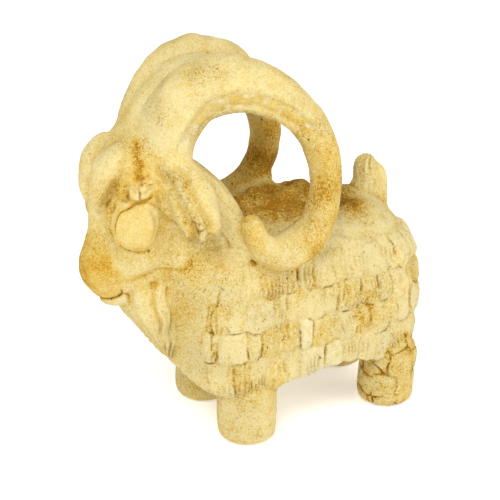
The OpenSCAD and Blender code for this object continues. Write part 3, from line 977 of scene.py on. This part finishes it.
class Nodes:
    """A short way to write a material's nodes."""

    def __init__(self, name):
        self.material = bpy.data.materials.new(name)
        self.material.use_nodes = True
        self.tree = self.material.node_tree
        self.shader = self.tree.nodes["Principled BSDF"]

    def add(self, kind, inputs=(), output=0, **settings):
        """An output of a new node; its inputs are given as sockets or as values."""
        node = self.tree.nodes.new(kind)
        for key, value in settings.items():
            setattr(node, key, value)
        for key, value in dict(inputs).items():
            if isinstance(value, bpy.types.NodeSocket):
                self.tree.links.new(value, node.inputs[key])
            else:
                node.inputs[key].default_value = value
        return node.outputs[output]

    def math(self, operation, a, b=0.0, clamp=False):
        return self.add("ShaderNodeMath", {0: a, 1: b}, operation=operation, use_clamp=clamp)

    def times(self, a, b):
        return self.math("MULTIPLY", a, b)

    def span(self, value, a, b, at_a=0.0, at_b=1.0):
        return self.add("ShaderNodeMapRange", {0: value, 1: a, 2: b, 3: at_a, 4: at_b}, clamp=True)

    def mix(self, amount, a, b):
        """Colour a with an amount of colour b over it."""
        return self.add("ShaderNodeMix", {0: amount, 6: a, 7: b}, output=2, data_type="RGBA")

    def attribute(self, name):
        return self.add("ShaderNodeAttribute", output=2, attribute_name=name)

    def link(self, name, socket):
        self.tree.links.new(socket, self.shader.inputs[name])


# Colours of the wash and where they stand between rubbed thin and pooled
WASH = (
    (0.0, (0.72, 0.61, 0.30, 1)),
    (0.27, (0.67, 0.52, 0.195, 1)),
    (0.5, (0.62, 0.44, 0.115, 1)),
    (0.74, (0.53, 0.31, 0.034, 1)),
    (1.0, (0.33, 0.15, 0.006, 1)),
)
THIN, THICK = -0.25, 1.35           # the tones at its two ends
DARK = (0.22, 0.08, 0.004, 1)       # in cracks and holes
BARE = (0.78, 0.71, 0.47, 1)        # where the wash has come off
# Mottling of the wash: size of its lumps in mm, strength, detail
BLOTCHES = ((18, 0.55, 3), (5, 0.75, 3))
SPECKLES = ((1.9, 1.25, 2), (0.9, 2.8, 1))      # stronger where the clay is gritty
BUMP_DEPTH = 0.0024                 # metres
SHEEN = 0.08


def clay(name, wash, rough):
    """Fired clay under a rubbed ochre wash, with grain, specks and pinholes."""
    n = Nodes(name)
    position = n.add("ShaderNodeTexCoord", output=3)

    def grain(size, detail=3.0, contrast=0.5):
        return n.add("ShaderNodeTexNoise", {"Vector": position, "Scale": 1000 / size,
                                            "Detail": detail, "Roughness": contrast})

    def spots(apart, size):
        cell = n.add("ShaderNodeTexVoronoi", {"Vector": position, "Scale": 1000 / apart,
                                              "Randomness": 1.0})
        return n.span(cell, size / apart, 0.5 * size / apart)

    def mottle(size, amount, detail):
        return n.times(n.math("SUBTRACT", grain(size, detail), 0.5), amount)

    grit, crack = n.attribute("grit"), n.attribute("crack")
    coarse = n.span(grit, 0.0, 1.0, 0.4, 1.2)

    # the wash, which in a few places carries painted shade
    tone = n.math("ADD", n.attribute("stain"), wash)
    for blotch in BLOTCHES:
        tone = n.math("ADD", tone, mottle(*blotch))
    for speckle in SPECKLES:
        tone = n.math("ADD", tone, n.times(mottle(*speckle), coarse))
    stops = n.add("ShaderNodeValToRGB", {0: n.span(tone, THIN, THICK)})
    bar = stops.node.color_ramp
    bar.elements[0].position, bar.elements[0].color = WASH[0]
    bar.elements[1].position, bar.elements[1].color = WASH[-1]
    for at, colour in WASH[1:-1]:
        bar.elements.new(at).color = colour

    # chips of bare clay, but not in cracks
    chips = n.times(n.attribute("pale"), n.span(grain(3.0, 4), 0.35, 0.6))
    chips = n.times(chips, n.span(crack, 0.25, 0.0))
    colour = n.mix(n.times(chips, 0.75), stops, BARE)

    # pinholes, pores, specks and cracks, each in patches
    pin = n.times(n.span(grain(11, 2), 0.45, 0.5), n.span(grit, 0.15, 0.3))
    pin = n.times(spots(9.0, 0.8), pin)
    pore = n.times(spots(2.3, 0.5), n.times(n.span(grain(7, 3), 0.5, 0.62), coarse))
    speck = n.times(n.span(grain(1.7, 2, 0.65), 0.6, 0.72), n.span(grain(6, 3), 0.45, 0.62))
    lines = n.times(crack, n.span(grain(2.2, 3), 0.3, 0.55))
    marks = n.math("MAXIMUM", n.times(pin, 0.9), n.times(pore, 0.6))
    marks = n.math("MAXIMUM", marks, n.times(n.times(speck, coarse), 0.35))
    marks = n.math("MAXIMUM", marks, n.times(lines, 0.9), clamp=True)
    n.link("Base Color", n.mix(marks, colour, DARK))

    height = n.times(n.times(grain(1.2, 4, 0.65), coarse), 0.62)
    height = n.math("ADD", height, n.times(grain(3.4, 3), 0.4))
    height = n.math("SUBTRACT", height, n.times(marks, 0.5))
    n.link("Normal", n.add("ShaderNodeBump", {"Strength": 1.0, "Distance": BUMP_DEPTH,
                                              "Height": height}))
    n.link("Roughness", n.span(grain(5, 3), 0.3, 0.7, rough - 0.08, rough + 0.1))
    n.shader.inputs["Specular IOR Level"].default_value = SHEEN
    return n.material


finish = {
    "washed_clay": clay("washed_clay", wash=0.0, rough=0.62),
    "ochre_clay": clay("ochre_clay", wash=0.06, rough=0.66),
    "bare_clay": clay("bare_clay", wash=-0.1, rough=0.7),
}

for k, name in enumerate(NAMES):
    run = slice(ends[k], ends[k + 1])
    values = {key: value[run] for key, value in looks.items()}
    piece = write_mesh(name + "_clay", moved[run], shares[name][1], values)
    piece.data.materials.append(finish[SLOT[name]])
    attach(piece, "root")
    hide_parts(name)


# ---------------------------------------------------------------- stage, light and camera

FLOOR_HALF = 5.0                    # metres
FLOOR_COLOUR, FLOOR_GLOW = (0.93, 0.925, 0.91, 1), 0.36
SKY_COLOUR, SKY_STRENGTH = (1.0, 0.99, 0.97, 1), 0.665
LENS, SENSOR = 90, 36               # mm
AZIMUTH, PITCH = math.radians(62.25), math.radians(22.53)
REACH = 0.70976                     # from the camera to its aim, metres

middle_of = (cad_box[0] + cad_box[1]) / 2
aim = middle_of + Vector((0.04596, -0.02585, 0.00922))


def make_floor():
    half = FLOOR_HALF
    square = [(-half, -half, 0), (half, -half, 0), (half, half, 0), (-half, half, 0)]
    mesh = bpy.data.meshes.new("floor")
    mesh.from_pydata(square, [], [(0, 1, 2, 3)])
    floor = bpy.data.objects.new("floor", mesh)
    bpy.context.scene.collection.objects.link(floor)
    n = Nodes("floor")
    n.shader.inputs["Base Color"].default_value = FLOOR_COLOUR
    n.shader.inputs["Roughness"].default_value = 0.9
    n.shader.inputs["Emission Color"].default_value = (1, 1, 1, 1)
    n.shader.inputs["Emission Strength"].default_value = FLOOR_GLOW
    mesh.materials.append(n.material)


def soft_light(name, offset, size, power):
    """A square lamp turned to the middle of the goat, at an offset from it in metres."""
    light = bpy.data.lights.new(name, "AREA")
    light.size = size
    light.energy = power
    lamp = bpy.data.objects.new(name, light)
    lamp.location = middle_of + Vector(offset)
    lamp.rotation_mode = "QUATERNION"
    lamp.rotation_quaternion = (-Vector(offset)).to_track_quat("-Z", "Y")
    bpy.context.scene.collection.objects.link(lamp)


make_floor()
soft_light("key", (0.62, -0.62, 0.89), size=0.5, power=9.5)
soft_light("fill", (0.75, 0.80, 0.45), size=0.8, power=5.5)

world = bpy.data.worlds.new("studio")
bpy.context.scene.world = world
world.use_nodes = True
world.node_tree.nodes["Background"].inputs["Color"].default_value = SKY_COLOUR
world.node_tree.nodes["Background"].inputs["Strength"].default_value = SKY_STRENGTH
bpy.context.scene.view_settings.view_transform = "Standard"

level_part = math.cos(PITCH)
back = Vector((math.sin(AZIMUTH) * level_part, -math.cos(AZIMUTH) * level_part, math.sin(PITCH)))
camera = bpy.data.objects.new("camera", bpy.data.cameras.new("camera"))
camera.data.lens = LENS
camera.data.sensor_width = SENSOR
camera.location = aim + back * REACH
camera.rotation_mode = "QUATERNION"
camera.rotation_quaternion = back.to_track_quat("Z", "Y")
bpy.context.scene.collection.objects.link(camera)
bpy.context.scene.camera = camera
